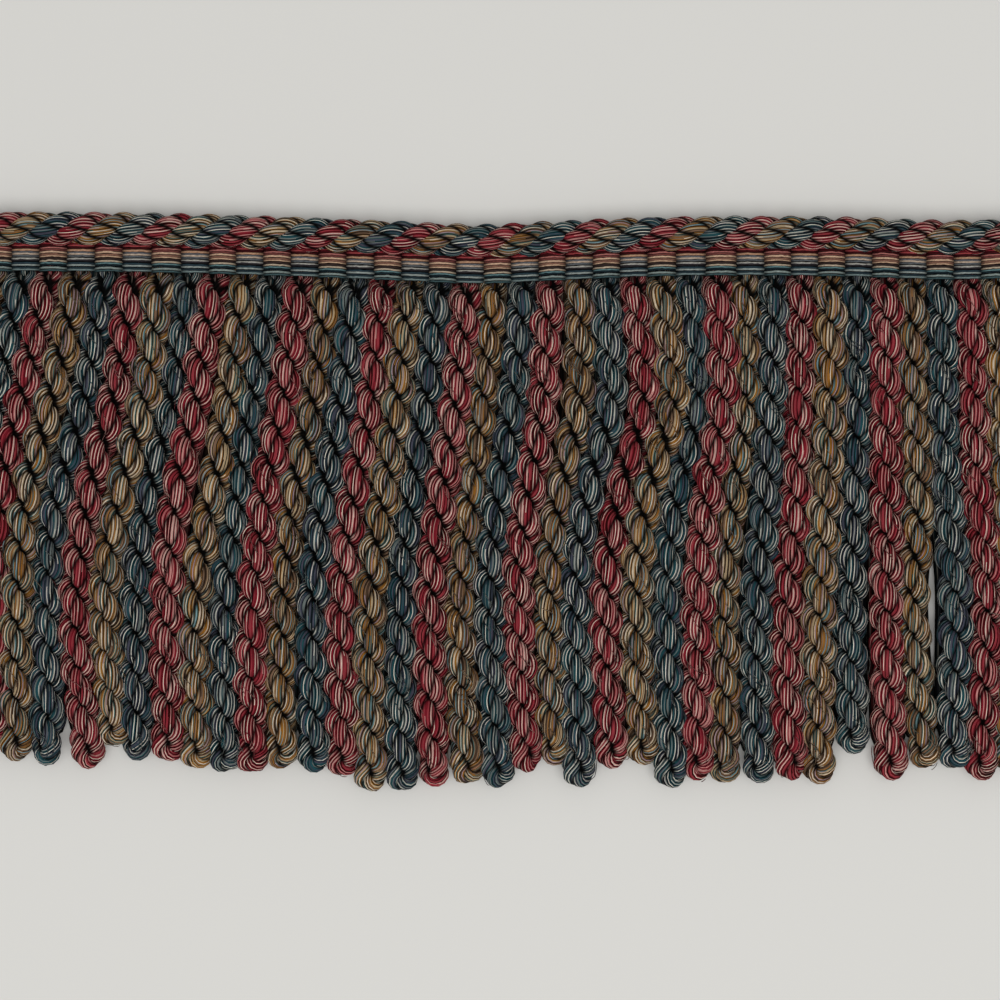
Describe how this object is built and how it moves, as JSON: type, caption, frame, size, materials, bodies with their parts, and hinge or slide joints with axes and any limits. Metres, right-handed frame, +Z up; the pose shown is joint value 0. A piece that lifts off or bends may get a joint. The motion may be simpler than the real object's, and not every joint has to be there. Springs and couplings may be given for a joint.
{
  "type": "bullion fringe trim",
  "caption": "Cut length of bullion fringe: twisted looped cords in wine, olive and teal under a woven heading with a three-ply cord along its top, lying flat.",
  "frame": {"origin": "on the table under the middle of the whole trim's bounding box", "axes": "+X along the trim, +Y from the loops towards the top cord, +Z up, out of the trim's face"},
  "size_m": [0.3078, 0.1542, 0.0085],
  "materials": {
    "heading_yarn": "matt woven yarn in mixed wine, olive and teal",
    "wine_yarn": "soft matt twisted yarn, wine with rose and cream strands",
    "olive_yarn": "soft matt twisted yarn, olive brown with ochre and blue-grey strands",
    "teal_yarn": "soft matt twisted yarn, dark teal with grey-blue and cream strands"
  },
  "bodies": {
    "root": {"heading": "heading_yarn", "top_cord_wine": "wine_yarn", "top_cord_olive": "olive_yarn", "top_cord_teal": "teal_yarn", "fringe_wine": "wine_yarn", "fringe_olive": "olive_yarn", "fringe_teal": "teal_yarn"}
  },
  "joints": []
}
